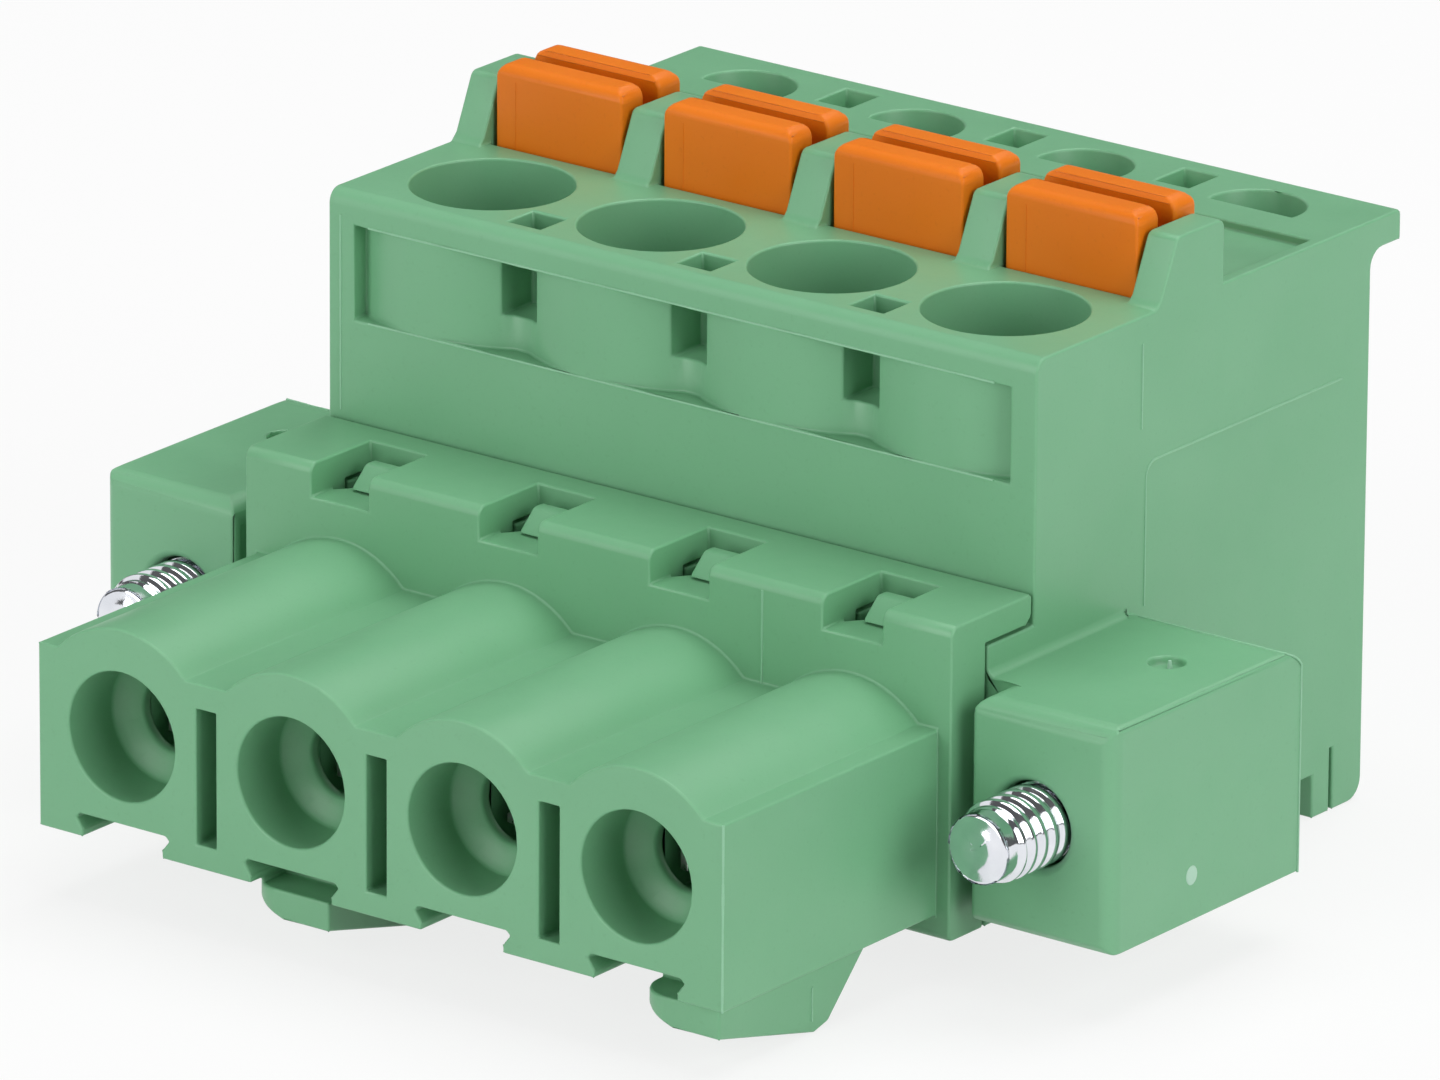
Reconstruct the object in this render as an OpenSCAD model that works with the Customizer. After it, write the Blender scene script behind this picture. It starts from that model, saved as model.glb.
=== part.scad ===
// Pluggable terminal block: four poles, two spring clamps per pole, screw flanges.
// Working frame: X along the row, Y from the plug face to the rear, Z up.
// The row's own frame has its origin under the middle of the part, on the surface it stands on.

/* [Poles] */
// Distance between two poles
pitch = 7.62; // [7.4:0.01:8.2]

/* [Plug face] */
// Length of the plug nose in front of the shoulder
nose_length = 12.3; // [10.5:0.1:15]
// Nose side wall, measured from the axis of the outer pole
nose_margin = 3.78; // [3.6:0.02:4.2]
// Radius of the bump over each socket
bump_r = 4.0; // [3.85:0.05:4.3]
// Height of the valleys between the bumps above the socket axis
valley_height = 2.75; // [2.4:0.05:3.2]
// Depth of the nose below the socket axis
nose_drop = 4.15; // [3.9:0.05:4.6]
// Radius of the round socket mouth
socket_r = 2.39; // [2.2:0.01:2.6]
// Straight depth of the socket mouth
socket_depth = 2.4; // [2:0.1:3]
// Radius of the inner hole that the header pin passes
pin_hole_r = 1.45; // [1.2:0.05:1.5]
// Width of the slot between two sockets
slot_width = 0.89; // [0.7:0.01:1.1]
// Depth of the slot between two sockets
slot_depth = 8; // [5:0.5:9]
// Height of the coding groove under each socket
coding_height = 0.85; // [0.6:0.05:1.1]
// Half width of the coding groove at its mouth
coding_mouth = 1.8; // [1.6:0.05:1.9]
// How far the coding groove widens on each side towards its roof
coding_undercut = 0.3; // [0.1:0.05:0.35]

/* [Shoulder] */
// Height of the shoulder above the socket axis
shoulder_height = 6.6; // [6.2:0.1:7]
// Thickness of the shoulder's front wall
shoulder_wall = 2.0; // [1.7:0.1:2.3]
// Thickness of the ledge that reaches back to the upper body
ledge_thickness = 1.1; // [0.9:0.05:1.3]
// Length of the ledge behind the front wall
ledge_reach = 2.8; // [2.5:0.1:3.2]
// Width of each notch in the shoulder
notch_width = 2.6; // [2.3:0.1:3]
// Length of each notch, front to back
notch_length = 3.4; // [3.0:0.1:3.8]
// Width of the snap nose inside each notch
snap_width = 1.8; // [1.4:0.05:2]

/* [Upper body] */
// Wall at the end of the row, measured from the axis of the outer pole
body_margin = 4.33; // [4.2:0.01:4.8]
// Height of the deck above the socket axis
deck_height = 15.13; // [14.5:0.1:16.5]
// Depth of the body below the socket axis
body_drop = 5.05; // [4.9:0.05:5.6]
// Length of the body from its upper front face to its rear wall
body_length = 20.15; // [19.9:0.05:22]
// How far the rear lip stands out of the rear wall
lip_reach = 1.8; // [1:0.1:2.2]
// Thickness of the rear lip
lip_thickness = 1.15; // [0.9:0.05:1.5]
// Depth of the feet and latch wedges below the socket axis
foot_drop = 6.7; // [6.4:0.1:7.5]
// Length of the rear foot
foot_length = 3.05; // [2.5:0.05:3.5]
// Depth of the recess in the deck behind the buttons
recess_depth = 0.35; // [0.2:0.05:0.6]

/* [Wire entries] */
// Radius of the front wire funnel
funnel_r = 3.0; // [2.92:0.02:3.1]
// Distance of the funnel axis behind the upper front face
funnel_setback = 4.0; // [3.95:0.05:4.2]
// Straight depth of the front wire funnel
funnel_depth = 4.6; // [4.3:0.1:5.2]
// Radius of the wire channel under the funnel
channel_r = 1.8; // [1.5:0.05:2]
// Radius of the D-shaped rear wire entry
rear_entry_r = 1.84; // [1.6:0.02:1.95]
// Lean of the rear wire entry
rear_entry_lean = 30; // [25:1:35]

/* [Buttons] */
// Width of a release button
button_width = 5.75; // [5.4:0.05:5.9]
// Thickness of a release button's head
button_thickness = 1.3; // [1.1:0.05:1.4]
// Height of the button heads above the deck
button_rise = 3.05; // [2.5:0.05:3.5]
// Gap between the front and the rear button
button_gap = 0.9; // [0.7:0.05:1.2]
// Running clearance between a button and its pocket
button_clearance = 0.15; // [0.1:0.01:0.2]
// Height of the ribs above the deck
rib_rise = 2.4; // [2:0.1:2.8]

/* [Flanges] */
// Distance of the flange screw from the axis of the outer pole
screw_offset = 7.62; // [7.5:0.02:8.5]
// Half width of a flange
flange_half = 3.5; // [3.4:0.05:3.8]
// Length of a flange, front to back
flange_length = 11.45; // [11:0.05:12]
// Height of a flange above the screw axis
flange_top = 4.25; // [4:0.05:4.6]
// Depth of a flange below the screw axis
flange_bottom = 4.13; // [4:0.05:4.6]
// Gap between a flange and the shoulder
flange_gap = 0.65; // [0.5:0.05:0.9]
// Radius of the flange screw's thread
screw_r = 1.5; // [1.25:0.05:1.6]
// Length of screw that stands out of the flange
screw_reach = 3.1; // [2.5:0.1:5]
// Radius of the screw head
screw_head_r = 2.6; // [2.4:0.05:2.7]
// Height of the screw head
screw_head_height = 2.2; // [1.8:0.1:2.6]
// Radial running clearance of the screw in its bore
screw_clearance = 0.08; // [0.05:0.01:0.09]

/* [Metal parts] */
// Thickness of the stamped current bar
bar_thickness = 0.8; // [0.6:0.05:1]
// Width of the stamped current bar
bar_width = 3.2; // [2.6:0.1:3.6]
// Thickness of a clamp spring's strip
spring_thickness = 0.35; // [0.25:0.01:0.4]
// Width of a clamp spring
spring_width = 3.4; // [2.6:0.1:3.8]
// Thickness of the contact fingers
finger_thickness = 0.4; // [0.3:0.05:0.5]

/* [Hidden] */
poles = 4;
function pole_x(i) = (i - (poles - 1) / 2) * pitch;
// the outer poles of the row
row_half = (poles - 1) / 2 * pitch;

// planes of the two mouldings, from front to back
seam_gap = 0.12;
nose_half = row_half + nose_margin;
body_half = row_half + body_margin;
seam_y = nose_length + shoulder_wall;
face_y = seam_y + ledge_reach;
rear_y = face_y + body_length;
lip_y = rear_y + lip_reach;
ledge_z = shoulder_height - ledge_thickness;

// how far a fillet is sunk into the faces that it joins
root_sink = 0.05;

// coding groove under each socket, and the slots between the sockets
groove_length = slot_depth;
slot_z = [0.9 - nose_drop, 1.8];

// notches and snap noses of the shoulder
notch_height = 1.25;
snap_fit = 0.07;
snap_top = shoulder_height - 0.4;
snap_y = [seam_y - 0.68, seam_y + 0.2, seam_y + 0.75];
snap_slot_depth = 1.8;

// scooped pockets between the funnels
scoop_r = 7;
scoop_lead = 0.02;
scoop_z0 = deck_height - 4.75;
scoop_z1 = deck_height - 1.2;
scoop_end_wall = 1.15;
window_width = 1.58;
window_z = [scoop_z1 - 2.26, scoop_z1 - 0.26];
core_hole = [1.5, 1.5];
core_y = face_y + 0.95;

// wire entries
funnel_y = face_y + funnel_setback;
cone_depth = 2.2;
rear_entry_y = rear_y - 1.11;
rear_mouth_r = rear_entry_r - 0.14;
rear_mouth_depth = 1.5;
rear_flat = 0.31;
rear_chord = 0.27;
rear_neck_r = 1.15;
rear_cone_depth = 3;
rear_channel_length = 8.6;
chute_wall = 0.6;

// button pockets and ribs
pocket_wall = 0.7;
pocket_width = button_width + 2 * button_clearance;
pocket_y0 = funnel_y + funnel_r + pocket_wall;
front_button_y = pocket_y0 + button_clearance;
rear_button_y = front_button_y + button_thickness + button_gap;
pocket_y1 = rear_button_y + button_thickness + button_clearance;
pocket_mid = (pocket_y0 + pocket_y1) / 2;
rib_lead = 0.5;
rib_slope = 1.3;
rib_back = 0.4;
recess_y1 = rear_y - 3.15;
recess_wall = 0.5;

// clamp chamber of one pole
chamber_half = 2.9;
chamber_z0 = -2.0;
chamber_top = deck_height - 6.75;
chamber_y1 = rear_y - 0.85;
web_thickness = button_gap - 2 * button_clearance;

// buttons
button_foot_z = chamber_top - 1.2;
button_lug = 0.55;
button_corner = 0.5;

// flanges and screws
screw_x = row_half + screw_offset;
flange_setback = 0.25;
flange_y0 = nose_length + flange_setback;
flange_y1 = flange_y0 + flange_length;
flange_inner = body_half + flange_gap;
flange_outer = screw_x + flange_half;
flange_root_y = seam_y + seam_gap;
flange_front_r = 0.7;
flange_rear_r = 1.5;
screw_seat_y = flange_y0 + 5;
head_clearance = 0.2;
bore_chamfer = 0.2;
relief_length = 0.5;
relief_depth = 0.3;
screw_float = 0.05;
screw_slot_depth = 1.1;
screw_slot_width = 0.7;

// latch wedges under the nose, measured from the middle of the row
wedge_width = 3.7;
wedge_x = [-4.3, 12.9];
wedge_y = [0.6, 5.9, 6.7, 9.4];
wedge_pocket_y = 2.0;
wedge_bevel_x = [1.6, 2.2];
wedge_front_rise = 1.35;

// current bars and springs
bar_z1 = chamber_z0 + 0.1 + bar_thickness;
bar_y0 = nose_length - 2.3;
finger_gap = 0.55;
finger_room = 1.5;
finger_setback = 1.5;
finger_y0 = socket_depth + finger_setback;
finger_height = 2.2;
finger_bends = [1.6, 3.4];
finger_root = 1.5;
tab_clearance = 1.2;
clamp_tab_y = funnel_y - channel_r - 0.3;
rear_tab_y = chamber_y1 - tab_clearance - bar_thickness;

// the row's own frame
overall_length = lip_y;

// ---------- helpers ----------

// points on an arc, from angle a0 to a1
function arc(c, r, a0, a1, n = 6) =
    [for (k = [0:n]) let (a = a0 + (a1 - a0) * k / n) c + r * [cos(a), sin(a)]];

// outline of a bent strip of thickness t that follows a path
function unit(v) = v / norm(v);
function side(p, k) = let (
        a = p[max(k - 1, 0)], b = p[min(k + 1, len(p) - 1)], d = unit(b - a)
    ) [-d[1], d[0]];
function strip(p, t) = concat(
    [for (k = [0:len(p) - 1]) p[k] + side(p, k) * t / 2],
    [for (k = [len(p) - 1:-1:0]) p[k] - side(p, k) * t / 2]);

// extrudes a Y-Z outline along X, centred on x
module along_x(x, width) {
    translate([x - width / 2, 0, 0]) rotate([90, 0, 90]) linear_extrude(width) children();
}

// extrudes an X-Z outline along Y, from y0 to y1
module along_y(y0, y1) {
    translate([0, y1, 0]) rotate([90, 0, 0]) linear_extrude(y1 - y0) children();
}

module box(x, y, z) {
    translate([x[0], y[0], z[0]]) cube([x[1] - x[0], y[1] - y[0], z[1] - z[0]]);
}

// a cylinder along Y
module rod_y(x, y0, y1, z, r0, r1, fn = 48) {
    translate([x, y0, z]) rotate([-90, 0, 0]) cylinder(h = y1 - y0, r1 = r0, r2 = r1, $fn = fn);
}

module in_row_frame() {
    translate([0, -overall_length / 2, foot_drop]) children();
}

// ---------- main housing ----------

// side outline of the upper body, without ribs
module body_outline() {
    front_r = 0.55;
    foot_r = 0.8;
    lip_fillet = 0.7;
    polygon(concat(
        [[seam_y + seam_gap, -body_drop], [seam_y + seam_gap, ledge_z - seam_gap],
         [face_y, ledge_z - seam_gap]],
        arc([face_y + front_r, deck_height - front_r], front_r, 180, 90),
        arc([lip_y - 0.2, deck_height - 0.2], 0.2, 90, 0, 3),
        [[lip_y, deck_height - lip_thickness]],
        arc([rear_y + lip_fillet, deck_height - lip_thickness - lip_fillet], lip_fillet, 90, 180),
        arc([rear_y - foot_r, foot_r - foot_drop], foot_r, 0, -90),
        [[rear_y - foot_length, -foot_drop], [rear_y - foot_length, -body_drop]]
    ));
}

module rib_outline() {
    y0 = pocket_y0 - rib_lead;
    y1 = pocket_y1 - rib_back;
    top = deck_height + rib_rise;
    r = 0.35;
    foot = 0.3;
    polygon(concat(
        [[y0 - foot / 2, deck_height - 0.5], [y0 - foot / 2, deck_height],
         [y0 + foot / 2, deck_height + foot]],
        arc([y0 + rib_slope, top - r], r, 150, 90, 4),
        arc([y1 - r, top - r], r, 90, 0, 4),
        [[y1, deck_height - 0.5]]
    ));
}

// side outline of a flange: rounded front and rear top edges
module flange_outline() {
    polygon(concat(
        [[flange_y0, 0.3 - flange_bottom]],
        arc([flange_y0 + flange_front_r, flange_top - flange_front_r], flange_front_r, 180, 90),
        arc([flange_y1 - flange_rear_r, flange_top - flange_rear_r], flange_rear_r, 90, 0),
        arc([flange_y1 - 0.3, 0.3 - flange_bottom], 0.3, 0, -90, 3),
        [[flange_y0 + 0.3, -flange_bottom]]
    ));
}

// flange on the right of the row: the block, its root on the side wall, and the fillet above it
module flange_right() {
    inner_r = 0.9;
    outer_r = 0.3;
    corner_r = 0.6;
    fillet = 0.3;
    intersection() {
        along_x((body_half - 1 + flange_outer) / 2, flange_outer - body_half + 1) flange_outline();
        union() {
            intersection() {
                along_y(flange_y0 - 1, flange_y1 + 1) polygon(concat(
                    [[flange_inner, -flange_bottom - 1]],
                    arc([flange_inner + inner_r, flange_top - inner_r], inner_r, 180, 90),
                    arc([flange_outer - outer_r, flange_top - outer_r], outer_r, 90, 0, 4),
                    [[flange_outer, -flange_bottom - 1]]
                ));
                translate([0, 0, -10]) linear_extrude(20) polygon(concat(
                    arc([flange_inner + outer_r, flange_y0 + outer_r], outer_r, 180, 270, 4),
                    arc([flange_outer - corner_r, flange_y0 + corner_r], corner_r, -90, 0),
                    arc([flange_outer - outer_r, flange_y1 - outer_r], outer_r, 0, 90, 4),
                    [[flange_inner, flange_y1]]
                ));
            }
            box([body_half - 1, flange_inner + inner_r], [flange_root_y, flange_y1 + 1],
                [-flange_bottom - 1, flange_top + 1]);
        }
    }
    along_y(flange_root_y, flange_y1 - flange_rear_r) polygon(concat(
        [[body_half - 0.2, flange_top - 0.2], [body_half - 0.2, flange_top + fillet]],
        arc([body_half + fillet, flange_top + fillet], fillet, 180, 270),
        [[body_half + fillet, flange_top - 0.2]]
    ));
}

module flange(side) {
    mirror([side < 0 ? 1 : 0, 0, 0]) flange_right();
}

// wedge under the rear lip that closes the back of a rear entry
module chute(x) {
    z = deck_height - lip_thickness;
    along_x(x, 2 * (rear_entry_r + chute_wall)) polygon([
        [rear_y - 0.5, z + 0.3], [lip_y - 0.15, z + 0.3], [lip_y - 0.15, z], [rear_y, z - 1.9],
        [rear_y - 0.5, z - 1.9]
    ]);
}

// everything that is cut out of the housing for one pole
module pole_cuts(x) {
    // front funnel, its cone and the wire channel
    translate([x, funnel_y, deck_height - funnel_depth]) {
        cylinder(h = funnel_depth + 1, r = funnel_r, $fn = 64);
        translate([0, 0, -cone_depth]) cylinder(h = cone_depth, r1 = channel_r, r2 = funnel_r, $fn = 64);
    }
    translate([x, funnel_y, chamber_top - 1]) cylinder(h = 3, r = channel_r, $fn = 48);
    // rear entry: an upright mouth with a flat front side
    translate([x, rear_entry_y, deck_height - rear_mouth_depth]) intersection() {
        cylinder(h = 2 * rear_mouth_depth, r = rear_entry_r, $fn = 64);
        translate([-3, -rear_flat, 0]) cube([6, 6, 2 * rear_mouth_depth]);
    }
    // under it a slanted cone, then a round channel down to the clamp
    intersection() {
        translate([x, rear_entry_y, deck_height]) rotate([-rear_entry_lean, 0, 0]) intersection() {
            translate([0, 0, -rear_cone_depth])
                cylinder(h = 2 * rear_cone_depth, r1 = rear_neck_r,
                         r2 = 2 * rear_mouth_r - rear_neck_r, $fn = 64);
            translate([-3, -rear_chord, -rear_cone_depth]) cube([6, 6, 2 * rear_cone_depth]);
        }
        box([x - 3, x + 3], [rear_entry_y - 6, rear_entry_y + 6],
            [chamber_top, deck_height - rear_mouth_depth + 0.05]);
    }
    translate([x, rear_entry_y, deck_height]) rotate([-rear_entry_lean, 0, 0])
        translate([0, 0, -rear_channel_length])
            cylinder(h = rear_channel_length - rear_cone_depth + 0.2, r = rear_neck_r, $fn = 48);
    // two button pockets with a web between them
    difference() {
        box([x - pocket_width / 2, x + pocket_width / 2], [pocket_y0, pocket_y1],
            [chamber_top - 1, deck_height + 4]);
        box([x - pocket_width / 2 - 1, x + pocket_width / 2 + 1],
            [pocket_mid - web_thickness / 2, pocket_mid + web_thickness / 2],
            [chamber_top - 2, deck_height - 1]);
    }
    // clamp chamber, open to the front for the metal parts
    box([x - chamber_half, x + chamber_half], [seam_y - 1, chamber_y1], [chamber_z0, ledge_z - 0.8]);
    box([x - chamber_half, x + chamber_half], [clamp_tab_y - 1.2, chamber_y1], [0, chamber_top]);
}

// scooped pocket between two poles: its floor curves out to the face in front of each pole
module scoop(x) {
    axis_y = face_y + scoop_r - scoop_lead;
    difference() {
        intersection() {
            box([x - pitch / 2, x + pitch / 2], [face_y - 1, face_y + 0.9], [scoop_z0, scoop_z1]);
            box([scoop_end_wall - body_half, body_half - scoop_end_wall], [0, rear_y], [0, deck_height]);
        }
        for (i = [0:poles - 1])
            translate([pole_x(i), axis_y, 0]) cylinder(h = deck_height + 1, r = scoop_r, $fn = 160);
    }
}

// window in the scooped pocket, and the core holes beside the wire entries
module window(x) {
    box([x - window_width / 2, x + window_width / 2], [face_y - 1, core_y + core_hole[1]], window_z);
    box([x - core_hole[0] / 2, x + core_hole[0] / 2], [core_y, core_y + core_hole[1]],
        [scoop_z1 - 1, deck_height + 1]);
    // blind core in the rear deck
    box([x - core_hole[0] / 2, x + core_hole[0] / 2], [rear_y - 0.95, rear_y + 0.9],
        [deck_height - 0.8, deck_height + 1]);
}

// left side of the snap nose beside a pole, and the slot that frees it
function snap_x0(x) = x + notch_width / 2 - snap_fit - snap_width;

// ramped hook that holds the plug housing on the main housing
module snap_nose(x) {
    z0 = shoulder_height - notch_height + snap_fit;
    r = 0.15;
    along_x(snap_x0(x) + snap_width / 2, snap_width) polygon(concat(
        [[snap_y[2], ledge_z - 1], [seam_y + seam_gap, ledge_z - 1], [seam_y + seam_gap, z0],
         [snap_y[0], z0], [snap_y[1] - 0.1, snap_top - 0.08], [snap_y[1] + 0.02, snap_top]],
        arc([snap_y[2] - r, snap_top - r], r, 90, 0, 4)
    ));
}

module snap_relief(x) {
    box([x - notch_width / 2, snap_x0(x)], [seam_y, snap_y[2]], [ledge_z - 1.5, ledge_z]);
}

module terminal_housing() {
    color([0.43, 0.67, 0.51]) in_row_frame() difference() {
        union() {
            along_x(0, 2 * body_half) body_outline();
            for (i = [0:poles])
                let (x0 = i == 0 ? -body_half : pole_x(i - 1) + pocket_width / 2,
                     x1 = i == poles ? body_half : pole_x(i) - pocket_width / 2)
                    along_x((x0 + x1) / 2, x1 - x0) rib_outline();
            for (side = [-1, 1]) flange(side);
            for (i = [0:poles - 1]) snap_nose(pole_x(i));
            for (i = [0:poles - 1]) chute(pole_x(i));
        }
        for (i = [0:poles - 1]) {
            pole_cuts(pole_x(i));
            snap_relief(pole_x(i));
        }
        for (i = [0:poles]) scoop(pole_x(i) - pitch / 2);
        for (i = [1:poles - 1]) window(pole_x(i) - pitch / 2);
        // recess in the deck behind the buttons
        box([recess_wall - body_half, body_half - recess_wall], [pocket_y1 - rib_back, recess_y1],
            [deck_height - recess_depth, deck_height + 0.01]);
        // slits that free the latch tabs of the rear foot
        for (side = [-1, 1])
            box([side * (body_half - 0.75) - 0.75, side * (body_half - 0.75) + 0.76],
                [rear_y - 1.98, rear_y - 1.8], [-foot_drop - 1, -foot_drop + 2.4]);
        // screw bores with their counterbores, and the sink marks on top of the flanges
        for (side = [-1, 1]) {
            rod_y(side * screw_x, flange_y0 - 1, flange_y1 + 1, 0, screw_r + screw_clearance,
                  screw_r + screw_clearance);
            rod_y(side * screw_x, flange_y0 - 0.3, flange_y0 + bore_chamfer, 0,
                  screw_r + screw_clearance + bore_chamfer + 0.3, screw_r + screw_clearance);
            rod_y(side * screw_x, screw_seat_y, flange_y1 + 1, 0, screw_head_r + head_clearance,
                  screw_head_r + head_clearance);
            translate([side * (screw_x + 0.7), flange_y0 + 7, flange_top])
                cylinder(h = 0.3, r = 0.45, center = true, $fn = 24);
        }
    }
}

// ---------- plug housing ----------

// the nose: a block with a round bump over each pole, and concave fillets at the bumps' feet
module nose_block() {
    r = 0.9;
    z = valley_height + r - root_sink;
    reach = sqrt(pow(bump_r + r - root_sink, 2) - pow(z, 2));
    a = atan2(z, reach);
    y1 = nose_length + 0.5;
    box([-nose_half, nose_half], [0, y1], [-nose_drop, valley_height]);
    intersection() {
        box([-nose_half, nose_half], [0, y1], [0, bump_r + 1]);
        for (i = [0:poles - 1]) rod_y(pole_x(i), 0, y1, 0, bump_r, bump_r, 96);
    }
    for (i = [0:poles - 1]) for (side = [0, 1]) translate([pole_x(i), 0, 0]) mirror([side, 0, 0])
        along_y(0, y1) polygon(concat(
            [[reach, valley_height - 2 * root_sink]],
            arc([reach, z], r, 270, 180 + a, 5),
            [(bump_r - 0.4) * [cos(a), sin(a)]]
        ));
}

module coding_groove(x) {
    y1 = groove_length;
    roof = coding_height - nose_drop;
    wide = coding_mouth + coding_undercut;
    along_y(-1, y1) translate([x, 0]) polygon([
        [-coding_mouth, -nose_drop - 1], [-coding_mouth, -nose_drop + 0.15],
        [-coding_mouth + 0.02, -nose_drop + 0.3], [-wide, roof - 0.15], [-wide + 0.15, roof],
        [wide - 0.15, roof], [wide, roof - 0.15], [coding_mouth - 0.02, -nose_drop + 0.3],
        [coding_mouth, -nose_drop + 0.15], [coding_mouth, -nose_drop - 1]
    ]);
}

// wedge that latches the plug: ramp in front, steep back, rounded and bevelled left front
module latch_wedge(x) {
    tip_z = -foot_drop;
    front_z = tip_z + wedge_front_rise;
    root_z = coding_height - nose_drop + 0.1;
    corner_r = 1.3;
    height = root_z - tip_z;
    x0 = x - wedge_width / 2;
    x1 = x + wedge_width / 2;
    intersection() {
        along_x(x, wedge_width) polygon([
            [0, root_z], [0, front_z], [wedge_y[0], front_z - 0.05], [wedge_y[1], tip_z],
            [wedge_y[2], tip_z + 0.2], [wedge_y[3], -nose_drop + 0.4], [wedge_y[3], root_z]
        ]);
        along_y(0, wedge_y[3]) polygon([
            [x0, root_z], [x0, front_z + 0.55], [x0 + wedge_bevel_x[0], front_z - 0.05],
            [x0 + wedge_bevel_x[1], tip_z],
            [x1, tip_z], [x1, root_z]
        ]);
        translate([x0, wedge_y[0] - 0.15, tip_z]) union() {
            translate([corner_r, 0, 0]) cube([wedge_width - corner_r, wedge_y[3], height]);
            translate([0, corner_r, 0]) cube([wedge_width, wedge_y[3], height]);
            translate([corner_r, corner_r, 0]) cylinder(h = height, r = corner_r, $fn = 40);
        }
    }
}

// socket: round mouth, short cone, pin hole and the chamber of the contact fingers
module socket_cuts(x) {
    cone = 0.6;
    lip = 0.45;
    chamber_y0 = socket_depth + cone + lip;
    rod_y(x, -1, socket_depth, 0, socket_r, socket_r, 64);
    rod_y(x, socket_depth, socket_depth + cone, 0, socket_r, pin_hole_r, 64);
    rod_y(x, socket_depth, chamber_y0 + 0.1, 0, pin_hole_r, pin_hole_r, 48);
    box([x - finger_room, x + finger_room], [chamber_y0, seam_y + 1], [chamber_z0, finger_room]);
    box([x - bar_width / 2 - 0.1, x + bar_width / 2 + 0.1], [bar_y0 - 0.3, seam_y + 1],
        [chamber_z0, finger_room]);
}

module shoulder_outline() {
    r = 0.4;
    polygon(concat(
        arc([nose_length + 0.3, 0.3 - body_drop], 0.3, 180, 270, 4),
        [[seam_y, -body_drop], [seam_y, ledge_z], [face_y - seam_gap - 0.3, ledge_z],
         [face_y - seam_gap, ledge_z + 0.3]],
        arc([face_y - seam_gap - 0.15, shoulder_height - 0.15], 0.15, 0, 90, 3),
        arc([nose_length + r, shoulder_height - r], r, 90, 180)
    ));
}

module notch(x) {
    box([x - notch_width / 2, x + notch_width / 2], [nose_length - 1, nose_length + notch_length],
        [shoulder_height - notch_height, shoulder_height + 1]);
    // slot beside the snap nose, with a slanted front end
    x0 = x - notch_width / 2;
    x1 = snap_x0(x) - snap_fit;
    translate([0, 0, shoulder_height - notch_height - snap_slot_depth])
        linear_extrude(snap_slot_depth + 0.1)
            polygon([[x0, seam_y - 0.85], [x1, seam_y], [x1, seam_y + 1], [x0, seam_y + 1]]);
}

module plug_housing() {
    color([0.43, 0.67, 0.51]) in_row_frame() difference() {
        union() {
            nose_block();
            along_x(0, 2 * body_half) shoulder_outline();
            for (x = wedge_x) latch_wedge(x);
        }
        for (i = [0:poles - 1]) {
            socket_cuts(pole_x(i));
            difference() {
                coding_groove(pole_x(i));
                // the groove ends in the wedge, and its foot stays under the groove
                for (x = wedge_x) {
                    box([x - wedge_width / 2, x + wedge_width / 2], [wedge_pocket_y, nose_length],
                        [-foot_drop, 0]);
                    box([x - wedge_width / 2, x + wedge_width / 2], [-1, wedge_pocket_y + 0.1],
                        [-foot_drop, -nose_drop - 0.15]);
                }
            }
            notch(pole_x(i));
        }
        for (i = [1:poles - 1])
            let (x = pole_x(i) - pitch / 2)
                box([x - slot_width / 2, x + slot_width / 2], [-1, slot_depth], slot_z);
    }
}

// ---------- metal parts ----------

// two contact fingers that pinch the header pin
module finger(side) {
    y0 = finger_y0;
    path = [[finger_gap + 0.35, y0], [finger_gap, y0 + finger_bends[0]],
            [finger_gap + 0.3, y0 + finger_bends[1]],
            [finger_gap + 0.45, bar_y0 + finger_root]];
    z0 = bar_z1 - bar_thickness;
    mirror([side < 0 ? 1 : 0, 0, 0]) {
        translate([0, 0, -finger_height / 2]) linear_extrude(finger_height)
            polygon(strip(path, finger_thickness));
        box([finger_gap + 0.45 - finger_thickness / 2, finger_gap + 0.45 + finger_thickness / 2],
            [bar_y0, bar_y0 + finger_root], [z0, finger_height / 2]);
    }
}

module contact(i) {
    z0 = bar_z1 - bar_thickness;
    tab_top = chamber_top - 2 * bar_thickness;
    color([0.78, 0.79, 0.8]) in_row_frame() translate([pole_x(i), 0, 0]) {
        box([-bar_width / 2, bar_width / 2], [bar_y0, rear_tab_y + bar_thickness], [z0, bar_z1]);
        for (y = [clamp_tab_y - bar_thickness, rear_tab_y])
            box([-bar_width / 2, bar_width / 2], [y, y + bar_thickness], [z0, tab_top]);
        for (side = [-1, 1]) finger(side);
    }
}

// leg spring in the Y-Z plane: foot on the bar, loop, and a leg that rests at the clamp's tab
function spring_path(tab_y) = let (
        z0 = bar_z1 + spring_thickness / 2 + 0.02, r = 1.5,
        back = pocket_y0 + 1.35, top = button_foot_z - 0.1 - spring_thickness / 2
    ) concat(
        [[tab_y + 1.4, z0]],
        arc([back - r, z0 + r], r, -90, 0, 8),
        arc([back - 1.1, top - 1.1], 1.1, 0, 100, 8),
        [[tab_y + 1.9, z0 + 3.1], [tab_y + 0.35, z0 + 2.0]]
    );

module spring_body(x, tab_y) {
    along_x(x, spring_width) polygon(strip(spring_path(tab_y), spring_thickness));
}

module front_spring(i) {
    color([0.7, 0.71, 0.73]) in_row_frame() spring_body(pole_x(i), clamp_tab_y);
}

module rear_spring(i) {
    color([0.7, 0.71, 0.73]) in_row_frame()
        translate([0, 2 * pocket_mid, 0]) mirror([0, 1, 0])
            spring_body(pole_x(i), 2 * pocket_mid - rear_tab_y);
}

// ---------- buttons ----------

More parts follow.
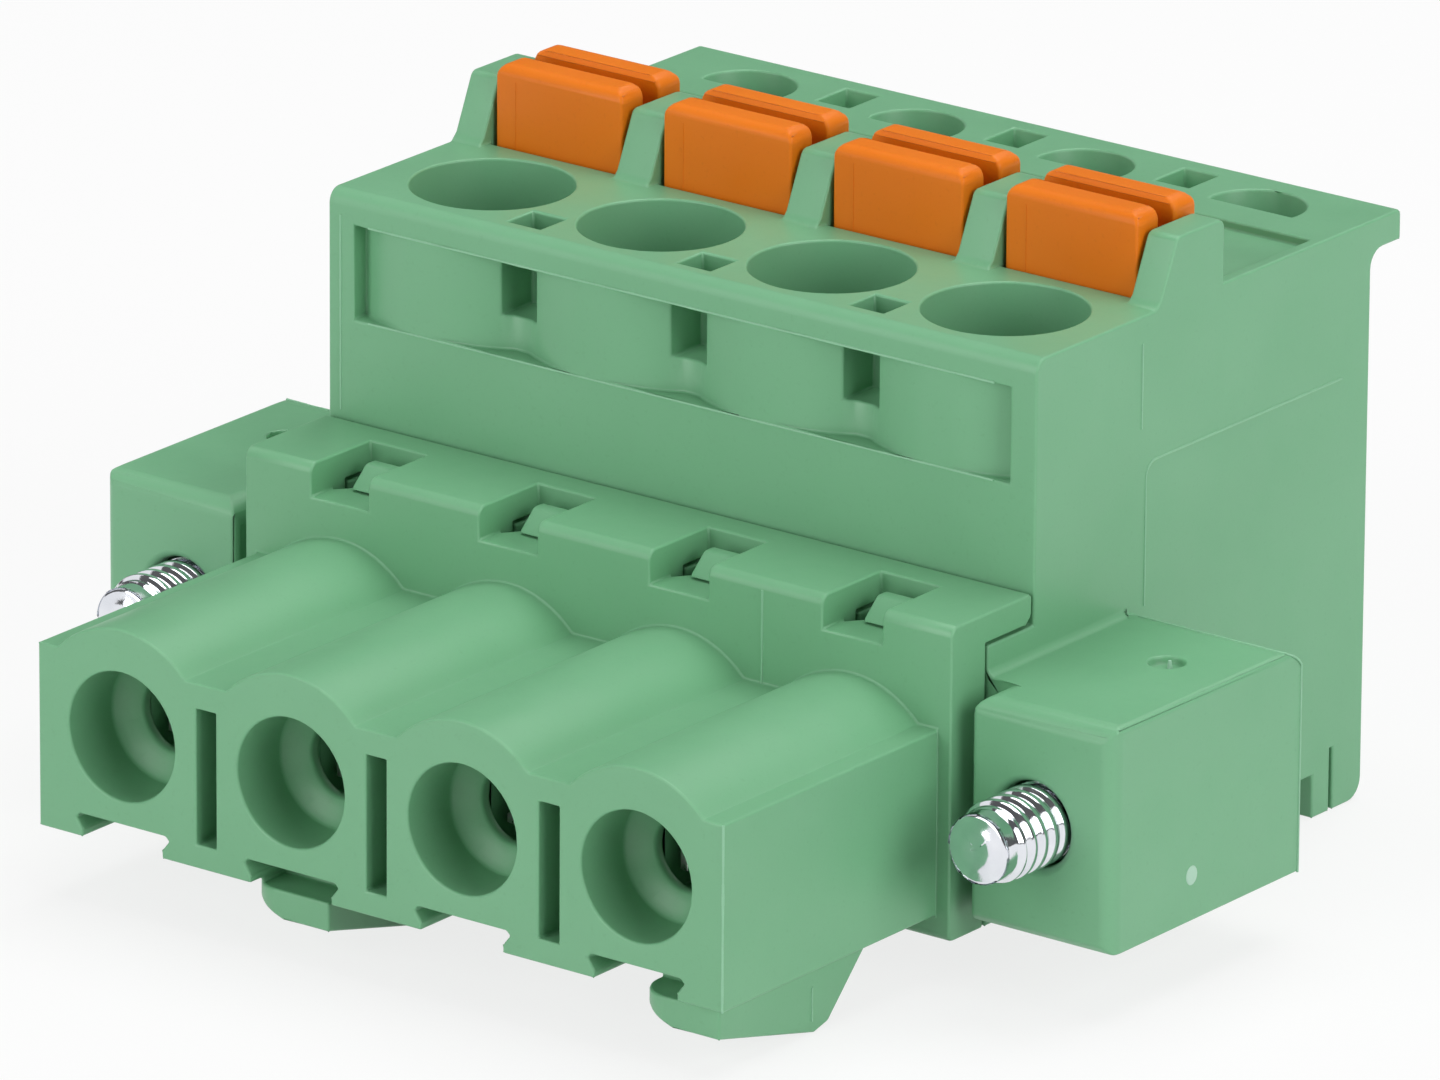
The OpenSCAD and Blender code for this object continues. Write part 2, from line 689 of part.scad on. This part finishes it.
// a release button seen from the front: rounded upper corners
module button_face() {
    w = button_width / 2;
    top = deck_height + button_rise;
    c = button_corner;
    polygon(concat(
        [[-w, button_foot_z]],
        arc([-w + c, top - c], c, 180, 90, 5),
        arc([w - c, top - c], c, 90, 0, 5),
        [[w, button_foot_z]]
    ));
}

// its section: rounded top, and a lug that keeps it in the housing
module button_section() {
    top = deck_height + button_rise;
    t = button_thickness;
    polygon(concat(
        [[0, button_foot_z], [-button_lug, button_foot_z], [-button_lug, chamber_top - 0.25],
         [0, chamber_top - 0.1]],
        arc([0.45, top - 0.45], 0.45, 180, 90, 5),
        arc([t - 0.2, top - 0.2], 0.2, 90, 0, 3),
        [[t, button_foot_z]]
    ));
}

module button_solid(x) {
    translate([x, 0, 0]) intersection() {
        along_y(front_button_y - button_lug, front_button_y + button_thickness) button_face();
        translate([0, front_button_y, 0]) along_x(0, button_width) button_section();
    }
}

module front_button(i) {
    color([0.93, 0.5, 0.15]) in_row_frame() button_solid(pole_x(i));
}

module rear_button(i) {
    color([0.93, 0.5, 0.15]) in_row_frame()
        translate([0, 2 * pocket_mid, 0]) mirror([0, 1, 0]) button_solid(pole_x(i));
}

// ---------- flange screws ----------

// slotted screw, tip to the front, with a relief groove where its thread ends in the flange
module flange_screw(side) {
    tip_y = flange_y0 - screw_reach;
    seat = screw_seat_y + screw_float;
    head_y1 = seat + screw_head_height;
    chamfer = 0.25;
    color([0.8, 0.82, 0.86]) in_row_frame() difference() {
        union() {
            rod_y(side * screw_x, tip_y + chamfer, flange_y0, 0, screw_r, screw_r);
            rod_y(side * screw_x, flange_y0 - 0.1, flange_y0 + relief_length + 0.1, 0,
                  screw_r - relief_depth, screw_r - relief_depth);
            rod_y(side * screw_x, flange_y0 + relief_length, seat + 0.1, 0, screw_r, screw_r);
            rod_y(side * screw_x, tip_y, tip_y + chamfer, 0, screw_r - chamfer, screw_r);
            rod_y(side * screw_x, seat, head_y1 - 0.25, 0, screw_head_r, screw_head_r);
            rod_y(side * screw_x, head_y1 - 0.25, head_y1, 0, screw_head_r, screw_head_r - 0.25);
        }
        box([side * screw_x - screw_head_r - 1, side * screw_x + screw_head_r + 1],
            [head_y1 - screw_slot_depth, head_y1 + 1], [-screw_slot_width / 2, screw_slot_width / 2]);
    }
}

// ---------- nodes ----------

terminal_housing();
plug_housing();
for (i = [0:poles - 1]) {
    contact(i);
    front_spring(i);
    rear_spring(i);
    front_button(i);
    rear_button(i);
}
flange_screw(-1);  // flange_screw_left
flange_screw(1);  // flange_screw_right
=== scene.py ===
# Pluggable terminal block: a green moulded housing with orange release buttons,
# a plug nose with round sockets, and a screw in a flange at each end.
import bpy
import bmesh
import math
from mathutils.bvhtree import BVHTree
from mathutils import Matrix, Vector
from mathutils import noise as uneven


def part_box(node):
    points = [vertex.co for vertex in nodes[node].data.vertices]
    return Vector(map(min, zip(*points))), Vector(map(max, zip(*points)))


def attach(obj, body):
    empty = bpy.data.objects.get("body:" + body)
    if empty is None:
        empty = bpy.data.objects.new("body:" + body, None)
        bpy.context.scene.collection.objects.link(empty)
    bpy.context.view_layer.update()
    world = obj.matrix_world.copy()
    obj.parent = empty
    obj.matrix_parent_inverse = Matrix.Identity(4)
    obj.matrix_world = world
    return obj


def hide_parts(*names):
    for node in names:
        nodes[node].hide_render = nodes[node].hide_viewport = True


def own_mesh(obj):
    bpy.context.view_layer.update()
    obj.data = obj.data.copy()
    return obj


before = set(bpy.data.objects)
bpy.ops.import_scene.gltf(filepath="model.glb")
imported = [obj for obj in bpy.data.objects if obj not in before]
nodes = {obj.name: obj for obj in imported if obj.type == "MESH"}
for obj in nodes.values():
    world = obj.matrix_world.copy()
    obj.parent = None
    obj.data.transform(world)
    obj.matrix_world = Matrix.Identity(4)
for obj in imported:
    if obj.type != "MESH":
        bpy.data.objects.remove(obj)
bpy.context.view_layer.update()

# ---------------------------------------------------------------- camera and lamps
# A long lens looks down on the block from in front and to its right. Large soft lamps
# stand above it and on its four sides, and a faint white sky fills the shadows.
MM = 0.001
scene = bpy.context.scene
scene.view_settings.view_transform = "Standard"

azimuth, elevation, roll = (math.radians(a) for a in (37.265, 19.111, 0.372))
aim = Vector((7.635, -9.873, 15.527)) * MM
distance = 565.1 * MM
look_back = Vector((math.sin(azimuth) * math.cos(elevation),
                    -math.cos(azimuth) * math.cos(elevation),
                    math.sin(elevation)))
level_right = Vector((math.cos(azimuth), math.sin(azimuth), 0))
level_up = look_back.cross(level_right)
view_right = level_right * math.cos(roll) + level_up * math.sin(roll)
view_up = level_up * math.cos(roll) - level_right * math.sin(roll)

camera_data = bpy.data.cameras.new("camera")
camera_data.sensor_width = 36
camera_data.lens = 406.22
camera_data.clip_start = 0.02
camera_data.clip_end = 20
camera = bpy.data.objects.new("camera", camera_data)
scene.collection.objects.link(camera)
camera_turn = Matrix((view_right, view_up, look_back)).transposed().to_4x4()
camera.matrix_world = Matrix.Translation(aim + look_back * distance) @ camera_turn
scene.camera = camera

world = bpy.data.worlds.new("studio")
scene.world = world
world.use_nodes = True
sky = world.node_tree.nodes["Background"]
sky.inputs["Color"].default_value = (1, 1, 1, 1)
sky.inputs["Strength"].default_value = 0.11

block_middle = Vector((0, 0, 0.01))


def lamp(name, place, size, watts):
    """A soft square lamp, in metres, that faces the middle of the block."""
    data = bpy.data.lights.new(name, "AREA")
    data.shape = "SQUARE"
    data.size = size
    data.energy = watts
    lamp_object = bpy.data.objects.new(name, data)
    scene.collection.objects.link(lamp_object)
    place = Vector(place)
    facing = (place - block_middle).to_track_quat("Z", "Y").to_matrix().to_4x4()
    lamp_object.matrix_world = Matrix.Translation(place) @ facing


lamp("lamp_top", (0.02, 0.10, 0.45), size=0.35, watts=1.42)
lamp("lamp_right", (0.42, -0.05, 0.18), size=0.30, watts=1.14)
lamp("lamp_front", (-0.12, -0.42, 0.16), size=0.35, watts=1.24)
lamp("lamp_left", (-0.42, 0.02, 0.25), size=0.35, watts=0.32)
lamp("lamp_back", (0.0, 0.40, 0.30), size=0.35, watts=0.32)

# ---------------------------------------------------------------- floor
# A plain matt white floor. It shows the camera, metal and glass a white of its own too,
# and the block's shadow stays on it as a soft grey.
floor_reach = 4
floor_white_share = 0.80

floor_mesh = bpy.data.meshes.new("floor")
bm = bmesh.new()
bmesh.ops.create_grid(bm, x_segments=1, y_segments=1, size=floor_reach)
bm.to_mesh(floor_mesh)
bm.free()
floor = bpy.data.objects.new("floor", floor_mesh)
scene.collection.objects.link(floor)

floor_paint = bpy.data.materials.new("floor_paint")
floor_paint.use_nodes = True
floor_tree = floor_paint.node_tree
floor_nodes, floor_links = floor_tree.nodes, floor_tree.links
floor_matt = floor_nodes["Principled BSDF"]
floor_matt.inputs["Base Color"].default_value = (0.80, 0.80, 0.80, 1)
floor_matt.inputs["Roughness"].default_value = 0.9
floor_matt.inputs["Specular IOR Level"].default_value = 0.1
floor_white = floor_nodes.new("ShaderNodeEmission")
floor_white.inputs["Strength"].default_value = 1.0
ray = floor_nodes.new("ShaderNodeLightPath")
seen = ray.outputs["Is Camera Ray"]
for mirrored in ("Is Glossy Ray", "Is Transmission Ray"):
    either = floor_nodes.new("ShaderNodeMath")
    either.operation = "MAXIMUM"
    floor_links.new(seen, either.inputs[0])
    floor_links.new(ray.outputs[mirrored], either.inputs[1])
    seen = either.outputs[0]
white_share = floor_nodes.new("ShaderNodeMath")
white_share.operation = "MULTIPLY"
white_share.inputs[1].default_value = floor_white_share
floor_links.new(seen, white_share.inputs[0])
floor_mix = floor_nodes.new("ShaderNodeMixShader")
floor_links.new(white_share.outputs[0], floor_mix.inputs[0])
floor_links.new(floor_matt.outputs[0], floor_mix.inputs[1])
floor_links.new(floor_white.outputs[0], floor_mix.inputs[2])
floor_links.new(floor_mix.outputs[0], floor_nodes["Material Output"].inputs["Surface"])
floor_mesh.materials.append(floor_paint)

# ---------------------------------------------------------------- main housing
# The upper moulding carries the wire funnels, the ribs between the buttons and the two
# screw flanges. It is one injection moulding in green nylon. Each flange has the round
# mark of an ejector pin on top.
plug_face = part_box("plug_housing")[0].y
screw_low, screw_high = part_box("flange_screw_right")
axis_z = (screw_low.z + screw_high.z) / 2
moulding_edge = 0.10 * MM


def spot(x, y, z):
    """A place in millimetres from the row's middle, the plug's face and the socket axis."""
    return Vector((x * MM, plug_face + y * MM, axis_z + z * MM))


def feed(tree, socket, value):
    """Links a socket to another, or sets it to a colour."""
    if isinstance(value, bpy.types.NodeSocket):
        tree.links.new(value, socket)
    else:
        socket.default_value = (*value, 1)


def noise(tree, scale, detail, roughness=0.5):
    """A cloudy pattern that is fixed in the piece, with scale waves to the metre."""
    coordinates = tree.nodes.new("ShaderNodeTexCoord")
    node = tree.nodes.new("ShaderNodeTexNoise")
    tree.links.new(coordinates.outputs["Object"], node.inputs["Vector"])
    node.inputs["Scale"].default_value = scale
    node.inputs["Detail"].default_value = detail
    node.inputs["Roughness"].default_value = roughness
    return node.outputs["Fac"]


def spread(tree, value, low, high, start=0.3, end=0.7):
    """Stretches a pattern's part from start to end over the range from low to high."""
    node = tree.nodes.new("ShaderNodeMapRange")
    tree.links.new(value, node.inputs["Value"])
    node.inputs["From Min"].default_value = start
    node.inputs["From Max"].default_value = end
    node.inputs["To Min"].default_value = low
    node.inputs["To Max"].default_value = high
    return node.outputs["Result"]


def blended(tree, share, one, other):
    """A colour between two others, by a pattern's share from 0 to 1."""
    node = tree.nodes.new("ShaderNodeMix")
    node.data_type = "RGBA"
    tree.links.new(share, node.inputs["Factor"])
    feed(tree, node.inputs["A"], one)
    feed(tree, node.inputs["B"], other)
    return node.outputs["Result"]


def raised(tree, height, strength, distance, below=None):
    """Relief from a pattern, laid over the relief below it."""
    node = tree.nodes.new("ShaderNodeBump")
    node.inputs["Strength"].default_value = strength
    node.inputs["Distance"].default_value = distance
    tree.links.new(height, node.inputs["Height"])
    if below is not None:
        tree.links.new(below, node.inputs["Normal"])
    return node.outputs["Normal"]


def moulded_nylon(name, colour, pale, roughness, grain, gleam=0.5):
    """Nylon: slow clouds of tone, fine flecks, sink waves, die grain and uneven gloss."""
    material = bpy.data.materials.new(name)
    material.use_nodes = True
    tree = material.node_tree
    shader = tree.nodes["Principled BSDF"]
    shader.inputs["Specular IOR Level"].default_value = gleam
    shader.inputs["Subsurface Weight"].default_value = 0.06
    shader.inputs["Subsurface Radius"].default_value = (0.4, 1.0, 0.5)
    shader.inputs["Subsurface Scale"].default_value = 0.4 * MM

    clouds = spread(tree, noise(tree, scale=130, detail=3), low=0, high=1)
    flecks = spread(tree, noise(tree, scale=5200, detail=2, roughness=0.6),
                    low=0, high=0.35, start=0.60, end=0.78)
    fleck_colour = tuple(0.86 * part for part in colour)
    tone = blended(tree, flecks, blended(tree, clouds, colour, pale), fleck_colour)
    tree.links.new(tone, shader.inputs["Base Color"])

    gloss = spread(tree, noise(tree, scale=420, detail=4),
                   low=roughness - 0.06, high=roughness + 0.07)
    tree.links.new(gloss, shader.inputs["Roughness"])

    waves = raised(tree, noise(tree, scale=260, detail=2),
                   strength=0.25, distance=0.12 * MM)
    skin = raised(tree, noise(tree, scale=9000, detail=3, roughness=0.6),
                  strength=grain, distance=0.02 * MM, below=waves)
    tree.links.new(skin, shader.inputs["Normal"])
    return material


def merged_copy(node, gap=0.002 * MM):
    """A bmesh of a CAD node with its doubled corners merged and its flat faces whole."""
    bm = bmesh.new()
    bm.from_mesh(nodes[node].data)
    bmesh.ops.remove_doubles(bm, verts=bm.verts, dist=gap)
    bmesh.ops.dissolve_limit(bm, angle_limit=math.radians(0.4), verts=bm.verts,
                             edges=bm.edges)
    return bm


def soften(bm, edge, limit=30):
    """Rounds every corner sharper than limit, and keeps the result on the old surface."""
    surface = BVHTree.FromBMesh(bm)
    corners = [e for e in bm.edges
               if e.is_manifold and abs(e.calc_face_angle(0)) > math.radians(limit)]
    bmesh.ops.bevel(bm, geom=corners, offset=edge, offset_type="OFFSET", segments=2,
                    profile=0.5, affect="EDGES", clamp_overlap=False, material=-1,
                    loop_slide=True)
    strayed = 0.35 * edge
    for v in bm.verts:
        nearest, _, _, away = surface.find_nearest(v.co)
        if away > strayed:
            v.co = nearest
    bmesh.ops.connect_verts_nonplanar(bm, angle_limit=math.radians(1), faces=bm.faces)
    bm.normal_update()


def finished(name, bm, material):
    """Writes a bmesh as a smooth-shaded piece that keeps its crisp corners."""
    for face in bm.faces:
        face.smooth = True
    mesh = bpy.data.meshes.new(name)
    bm.to_mesh(mesh)
    bm.free()
    mesh.set_sharp_from_angle(angle=math.radians(40))
    mesh.materials.append(material)
    piece = bpy.data.objects.new(name, mesh)
    scene.collection.objects.link(piece)
    even = piece.modifiers.new("even normals", "WEIGHTED_NORMAL")
    even.keep_sharp = True
    return piece


housing_nylon = moulded_nylon("housing_nylon", (0.158, 0.398, 0.216),
                              (0.170, 0.416, 0.230), roughness=0.40, grain=0.12)

pin_mark = spot(19.75, 19.6, 4.25)
pin_mark_reach = 0.6 * MM
pin_mark_height = 0.4 * MM
pin_mark_lip = 0.05 * MM
pin_mark_widened = 1.45
pin_mark_sunk = 0.15 * MM
bm = merged_copy("terminal_housing")
for side in (-1, 1):
    middle = pin_mark * Vector((side, 1, 1))
    dish = [v for v in bm.verts if (v.co.xy - middle.xy).length < pin_mark_reach
            and abs(v.co.z - middle.z) < pin_mark_height]
    bmesh.ops.scale(bm, vec=(pin_mark_widened, pin_mark_widened, 1), verts=dish,
                    space=Matrix.Translation(-middle))
    dish_bottom = [v for v in dish if v.co.z < middle.z - pin_mark_lip]
    bmesh.ops.translate(bm, vec=(0, 0, -pin_mark_sunk), verts=dish_bottom)
soften(bm, moulding_edge)
housing = finished("upper_moulding", bm, housing_nylon)
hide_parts("terminal_housing")
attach(housing, "housing")

# ---------------------------------------------------------------- plug moulding
# The nose with its four sockets and the shoulder behind it are one moulding in green
# nylon. The snap noses of the upper moulding reach through the shoulder's notches.
plug_nylon = moulded_nylon("plug_nylon", (0.154, 0.392, 0.210),
                           (0.166, 0.410, 0.224), roughness=0.40, grain=0.12)
bm = merged_copy("plug_housing")
soften(bm, moulding_edge)
plug = finished("plug_moulding", bm, plug_nylon)
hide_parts("plug_housing")
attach(plug, "housing")

# ---------------------------------------------------------------- parting lines
# Where the halves and slides of the two moulds met, a hair of thin nylon stands out of
# the walls. Its paler colour is a painted highlight for the light these hairs catch.
# It is part of each moulding. All places are in millimetres.
# painted highlight: the flash is coloured paler than the housing to stand in for the light
# its edges catch
flash_nylon_painted_highlight = moulded_nylon("flash_nylon_painted_highlight", (0.23, 0.49, 0.30), (0.26, 0.52, 0.33),
                            roughness=0.45, grain=0.1)
hair_radius = 0.045 * MM
hair_swell = 0.35
hair_swell_length = 0.7 * MM
hair_step = 0.35 * MM
hair_overlap = 1.15


def hair(bm, *points):
    """A slightly uneven thread of nylon that runs through a row of places."""
    for start, end in zip(points, points[1:]):
        start, end = spot(*start), spot(*end)
        steps = max(1, round((end - start).length / hair_step))
        for step in range(steps):
            here, there = start.lerp(end, step / steps), start.lerp(end, (step + 1) / steps)
            swell = hair_swell * uneven.noise(here / hair_swell_length)
            radius = hair_radius * (1 + swell)
            turn = (there - here).to_track_quat("Z", "Y").to_matrix().to_4x4()
            bmesh.ops.create_cone(bm, cap_ends=True, segments=8, radius1=radius,
                                  radius2=radius,
                                  depth=hair_overlap * (there - here).length,
                                  matrix=Matrix.Translation((here + there) / 2) @ turn)


def slide_corner(x, y, z, radius, steps=6):
    """Places on the quarter circle that rounds a side slide's upper front corner."""
    angles = [math.radians(90 + 90 * step / steps) for step in range(steps + 1)]
    return [(x, y + radius * math.cos(a), z + radius * math.sin(a)) for a in angles]


wall_x = 15.76
flange_rim = ((16.1, 22.9, 4.20), (22.2, 22.9, 4.20), (22.41, 22.97, 4.18),
              (22.53, 23.21, 4.06), (22.55, 23.38, 3.95), (22.55, 23.56, 3.81),
              (22.55, 23.7, 3.63), (22.55, 23.7, -4.10))
front_y = 17.1
front_edge = ((-15.2, front_y, 6.9), (-15.2, front_y, 14.2))
scoop_half_row = 13.9
scoop_bottom, scoop_top = 10.36, 13.95
bm = bmesh.new()
for side in (-1, 1):
    x = side * wall_x
    side_slide = ((x, 35.5, 9.65), *slide_corner(x, 24.25, 9.05, radius=0.6),
                  (x, 23.65, 4.35))
    wall_step = ((x, 23.35, 11.0), (x, 23.35, 14.1))
    rim = [(side * rim_x, y, z) for rim_x, y, z in flange_rim]
    for line in (side_slide, wall_step, rim):
        hair(bm, *line)
hair(bm, *front_edge)
for z in (scoop_bottom, scoop_top):
    hair(bm, (-scoop_half_row, front_y, z), (scoop_half_row, front_y, z))
housing_lines = finished("housing_parting_lines", bm, flash_nylon_painted_highlight)
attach(housing_lines, "housing")

shoulder_line = ((7.5, 12.3, 2.75), (7.5, 12.3, 6.2))
wedge_line = ((14.75, 5.72, -6.2), (14.75, 5.72, -5.0))
nose_corner_line = ((15.19, 0.02, -4.1), (15.19, 0.02, 2.7))
bm = bmesh.new()
for line in (shoulder_line, wedge_line, nose_corner_line):
    hair(bm, *line)
plug_lines = finished("plug_parting_lines", bm, flash_nylon_painted_highlight)
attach(plug_lines, "housing")

# ---------------------------------------------------------------- gate marks
# The nylon entered each flange through its outer face. The runner was torn off there
# and left a small dull scar. A nib of the same torn nylon stands in each pin mark. Both
# are coloured much paler than the housing, a painted highlight for the light they catch.
# painted highlight: the scar and nib nylon is made pale to stand in for the light they
# catch
torn_nylon_painted_highlight = moulded_nylon("torn_nylon_painted_highlight", (0.34, 0.56, 0.42), (0.42, 0.64, 0.50),
                           roughness=0.55, grain=0.5)
scar_radius = 0.36 * MM
scar_squeeze = (0.16, 0.9, 1.0)
scar_place, nib_place = spot(22.55, 17.3, -2.4), spot(19.72, 19.75, 4.08)
nib_foot, nib_tip, nib_height = 0.11 * MM, 0.06 * MM, 0.30 * MM
bm = bmesh.new()
for side in (-1, 1):
    scar = bmesh.ops.create_uvsphere(bm, u_segments=24, v_segments=12,
                                     radius=scar_radius)["verts"]
    bmesh.ops.scale(bm, vec=scar_squeeze, verts=scar)
    bmesh.ops.translate(bm, vec=scar_place * Vector((side, 1, 1)), verts=scar)
    nib = bmesh.ops.create_cone(bm, cap_ends=True, segments=16, radius1=nib_foot,
                                radius2=nib_tip, depth=nib_height)["verts"]
    bmesh.ops.translate(bm, vec=nib_place * Vector((side, 1, 1)), verts=nib)
marks = finished("gate_marks", bm, torn_nylon_painted_highlight)
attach(marks, "housing")

# ---------------------------------------------------------------- release buttons
# Two orange slides stand over each pole, and pressing one opens the spring under it.
# They are plain moulded nylon, and each has a fine witness line on its outer face.
button_nylon = moulded_nylon("button_nylon", (0.74, 0.170, 0.003),
                             (0.78, 0.186, 0.004), roughness=0.46, grain=0.07,
                             gleam=0.28)
button_edge = 0.12 * MM
button_merge = 0.03 * MM
witness_size = Vector((0.05, 0.03, 7.0)) * MM
witness_aside = 1.98 * MM
witness_inset = 0.55 * MM
witness_below_top = 4.1 * MM
for row in ("front", "rear"):
    for number in range(1, 5):
        button = f"{row}_button_{number}"
        low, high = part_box(button)
        bm = merged_copy(button, button_merge)
        soften(bm, button_edge)
        middle_x = (low.x + high.x) / 2
        if row == "front":
            witness_x, witness_y = middle_x - witness_aside, low.y + witness_inset
        else:
            witness_x, witness_y = middle_x + witness_aside, high.y - witness_inset
        witness = bmesh.ops.create_cube(bm, size=1)["verts"]
        bmesh.ops.scale(bm, vec=witness_size, verts=witness)
        bmesh.ops.translate(bm, vec=(witness_x, witness_y, high.z - witness_below_top),
                            verts=witness)
        slide = finished(f"{row}_slide_{number}", bm, button_nylon)
        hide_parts(button)
        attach(slide, button)

# ---------------------------------------------------------------- contacts and springs
# Each pole has a bar folded from tinned copper, whose two pinched fingers show behind
# the socket. Two leg springs of bright strip steel press the wires against it, and a
# foot of each stays in the housing.


def plated_metal(name, colour, dull, roughness, scratch):
    """Bright metal: faint clouds in the plating, uneven polish and fine rubbed marks."""
    material = bpy.data.materials.new(name)
    material.use_nodes = True
    tree = material.node_tree
    shader = tree.nodes["Principled BSDF"]
    shader.inputs["Metallic"].default_value = 1.0
    clouds = spread(tree, noise(tree, scale=900, detail=3), low=0, high=1)
    tree.links.new(blended(tree, clouds, colour, dull), shader.inputs["Base Color"])
    polish = spread(tree, noise(tree, scale=2600, detail=4),
                    low=0.6 * roughness, high=1.5 * roughness)
    tree.links.new(polish, shader.inputs["Roughness"])
    rubbed = raised(tree, noise(tree, scale=7000, detail=4, roughness=0.6),
                    strength=scratch, distance=0.01 * MM)
    tree.links.new(rubbed, shader.inputs["Normal"])
    return material


tinned_copper = plated_metal("tinned_copper", (0.92, 0.92, 0.91), (0.82, 0.82, 0.82),
                             roughness=0.30, scratch=0.2)
strip_steel = plated_metal("strip_steel", (0.66, 0.67, 0.69), (0.56, 0.57, 0.59),
                           roughness=0.28, scratch=0.3)
bar_edge = 0.05 * MM
spring_edge = 0.04 * MM
spring_corner = 50
for number in range(1, 5):
    bm = merged_copy(f"contact_{number}")
    soften(bm, bar_edge)
    bar = finished(f"current_bar_{number}", bm, tinned_copper)
    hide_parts(f"contact_{number}")
    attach(bar, "housing")

    for row in ("front", "rear"):
        node = f"{row}_spring_{number}"
        low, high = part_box(node)
        bm = merged_copy(node)
        soften(bm, spring_edge, limit=spring_corner)
        spring = finished(f"{row}_clamp_spring_{number}", bm, strip_steel)
        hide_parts(node)
        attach(spring, "housing")
        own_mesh(spring)

# ---------------------------------------------------------------- flange screws
# Zinc-plated steel screws, 3.0 mm in the rolled thread and 5.2 mm in the slotted head.
# The head sits in the flange's counterbore, and the tip is turned down to a lead-in.
zinc = plated_metal("bright_zinc", (0.84, 0.86, 0.90), (0.74, 0.76, 0.81),
                    roughness=0.09, scratch=0.25)
thread_pitch = 0.62 * MM
thread_radius = (screw_high.x - screw_low.x) / 2 / 2.6 * 1.5
thread_depth = 0.17 * MM
# one turn of the thread, as shares of its pitch and of its depth below the crest
thread_shape = ((0.0, 1.0), (0.10, 0.86), (0.24, 0.22), (0.38, 0.03), (0.5, 0.0),
                (0.62, 0.03), (0.76, 0.22), (0.90, 0.86), (1.0, 1.0))
thread_turns = 8
turn_steps = 64
turns_before_tip = 1.5
thread_merge = 0.004 * MM
thread_root_y = spot(0, 12.85, 0).y
head_overlap = 0.05 * MM
head_edge = 0.06 * MM
collar_radius = 1.28 * MM
collar_length = 0.70 * MM
collar_slope = 0.7
tip_edge = 0.14 * MM
# rings of the tip's face, as width and sunk depth in millimetres
tip_rings = ((0.22, 0.02), (0.18, 0.06), (0.25, 0.05), (0.25, -0.03))
cut_gap = 0.0005 * MM
on_plane = 0.002 * MM
many_sides = 16


def cut_away(bm, y, outwards):
    """Cuts a piece across and removes what lies outwards of y."""
    bmesh.ops.bisect_plane(bm, geom=bm.verts[:] + bm.edges[:] + bm.faces[:],
                           plane_co=(0, y, 0), plane_no=(0, outwards, 0),
                           clear_outer=True, dist=cut_gap)


def tip_face(bm):
    """The many-sided face that closes the screw in front."""
    return min((f for f in bm.faces if len(f.verts) > many_sides),
               key=lambda f: f.calc_center_median().y)


for side in ("left", "right"):
    low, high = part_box(f"flange_screw_{side}")
    centre = Vector(((low.x + high.x) / 2, 0, (low.z + high.z) / 2))
    tip_y = low.y

    bm = bmesh.new()
    profile = [bm.verts.new((centre.x, tip_y + (along - turns_before_tip) * thread_pitch,
                             centre.z + thread_radius - depth * thread_depth))
               for along, depth in thread_shape]
    profile_edges = [bm.edges.new(pair) for pair in zip(profile, profile[1:])]
    bmesh.ops.spin(bm, geom=profile + profile_edges, cent=centre, axis=(0, 1, 0),
                   dvec=(0, thread_pitch / turn_steps, 0),
                   angle=2 * math.pi * thread_turns, steps=turn_steps * thread_turns,
                   use_duplicate=False)
    bmesh.ops.remove_doubles(bm, verts=bm.verts, dist=thread_merge)
    for v in bm.verts:
        widest = collar_radius + max(0, v.co.y - tip_y - collar_length) * collar_slope
        out = Vector((v.co.x - centre.x, 0, v.co.z - centre.z))
        if out.length > widest:
            v.co -= out * (1 - widest / out.length)
    for y, outwards in ((tip_y, -1), (thread_root_y, 1)):
        cut_away(bm, y, outwards)
        rim = [e for e in bm.edges if e.is_boundary
               and all(abs(v.co.y - y) < on_plane for v in e.verts)]
        bmesh.ops.edgeloop_fill(bm, edges=rim)
    bmesh.ops.bevel(bm, geom=tip_face(bm).edges[:], offset=tip_edge,
                    offset_type="OFFSET", segments=3, profile=0.5, affect="EDGES",
                    clamp_overlap=False, material=-1)
    for width, sunk in tip_rings:
        bmesh.ops.inset_region(bm, faces=[tip_face(bm)], thickness=width * MM,
                               depth=-sunk * MM, use_even_offset=True)
    bmesh.ops.recalc_face_normals(bm, faces=bm.faces)
    thread_mesh = bpy.data.meshes.new(f"flange_screw_{side}_thread")
    bm.to_mesh(thread_mesh)
    bm.free()

    bm = merged_copy(f"flange_screw_{side}")
    cut_away(bm, thread_root_y - head_overlap, -1)
    bmesh.ops.holes_fill(bm, edges=[e for e in bm.edges if e.is_boundary], sides=0)
    soften(bm, head_edge)
    bm.from_mesh(thread_mesh)
    bpy.data.meshes.remove(thread_mesh)
    screw = finished(f"threaded_screw_{side}", bm, zinc)
    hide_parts(f"flange_screw_{side}")
    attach(screw, f"flange_screw_{side}")
